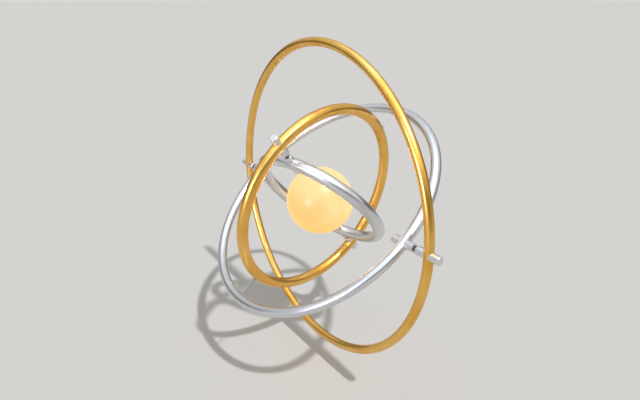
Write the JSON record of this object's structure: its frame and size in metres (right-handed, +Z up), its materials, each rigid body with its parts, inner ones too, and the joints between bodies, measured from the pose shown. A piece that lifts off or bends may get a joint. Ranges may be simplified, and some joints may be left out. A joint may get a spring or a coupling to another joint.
{
  "type": "gimbal gyroscope",
  "caption": "Nested round rings, gold and silver in turn, each turning on pins in the one outside it, round a glowing globe; held by its outer trunnions.",
  "frame": {"origin": "common centre of the four rings and the globe", "axes": "+X along the outer ring's trunnions, to the right pin; the outer ring lies in the XZ plane; +Z up; the picture looks from +X, -Y and a little above"},
  "size_m": [0.346, 0.2082, 0.329],
  "materials": {
    "gold": "polished",
    "silver": "polished",
    "pin_steel": "satin",
    "dark_steel": "satin",
    "needle_steel": "polished",
    "bronze": "satin",
    "satin_aluminium": "satin",
    "opal_globe": "satin",
    "emitter": "satin",
    "white_plastic": "satin",
    "strip_board": "satin",
    "circuit_board": "satin",
    "cell_can": "polished",
    "weight_brass": "satin"
  },
  "bodies": {
    "outer": {"outer_ring": "gold", "outer_stub_left": "pin_steel", "outer_stub_right": "pin_steel", "outer_boss_left": "pin_steel", "outer_boss_right": "pin_steel", "outer_bush_left": "bronze", "outer_bush_right": "bronze", "outer_cap_left": "pin_steel", "outer_cap_right": "pin_steel"},
    "second": {"second_ring": "silver", "second_stub_left": "pin_steel", "second_stub_right": "pin_steel", "second_boss_left": "pin_steel", "second_boss_right": "pin_steel", "second_spindle_left": "dark_steel", "second_spindle_right": "dark_steel", "second_spacer_left": "dark_steel", "second_spacer_right": "dark_steel", "second_grub_screws": "dark_steel", "needle_upper": "needle_steel", "needle_lower": "needle_steel"},
    "third": {"third_ring": "gold", "third_stub_left": "pin_steel", "third_stub_right": "pin_steel", "third_boss_left": "pin_steel", "third_boss_right": "pin_steel", "third_bush_left": "bronze", "third_bush_right": "bronze", "third_cap_left": "pin_steel", "third_cap_right": "pin_steel", "needle_cup_upper": "bronze", "needle_cup_lower": "bronze"},
    "inner": {"inner_ring": "silver", "inner_stub_left": "pin_steel", "inner_stub_right": "pin_steel", "inner_boss_left": "pin_steel", "inner_boss_right": "pin_steel", "inner_spindle_left": "dark_steel", "inner_spindle_right": "dark_steel", "inner_spacer_left": "dark_steel", "inner_spacer_right": "dark_steel", "inner_grub_screws": "dark_steel", "globe_stem": "satin_aluminium", "stem_end_screw": "needle_steel"},
    "globe": {"globe_shell": "opal_globe", "globe_collar": "satin_aluminium", "globe_bush_front": "bronze", "globe_bush_rear": "bronze", "lamp_core": "satin_aluminium", "lamp_bulkhead": "white_plastic", "light_strips": "strip_board", "light_emitters": "emitter", "button_cells": "cell_can", "cell_contacts": "bronze", "lamp_board": "circuit_board", "balance_weight": "weight_brass", "lamp_end_cap": "white_plastic", "switch_plate": "bronze"},
    "switch": {"switch_ring": "white_plastic"}
  },
  "joints": [
    {"name": "second_ring_turn", "type": "hinge", "parent": "outer", "child": "second", "pos_m": [0, 0, 0], "axis": [1, 0, 0], "continuous": true},
    {"name": "third_ring_turn", "type": "hinge", "parent": "second", "child": "third", "pos_m": [0, 0, 0], "axis": [0, 0.7627, 0.6468], "continuous": true},
    {"name": "inner_ring_turn", "type": "hinge", "parent": "third", "child": "inner", "pos_m": [0, 0, 0], "axis": [0.2656, -0.6236, 0.7353], "continuous": true},
    {"name": "globe_spin", "type": "hinge", "parent": "inner", "child": "globe", "pos_m": [0, 0, 0], "axis": [-0.2656, 0.6236, -0.7353], "continuous": true},
    {"name": "switch_press", "type": "slide", "parent": "globe", "child": "switch", "axis": [0.2656, -0.6236, 0.7353], "range_m": [0, 0.0008], "stiffness_N_per_m": 800, "springref_m": -0.001}
  ]
}
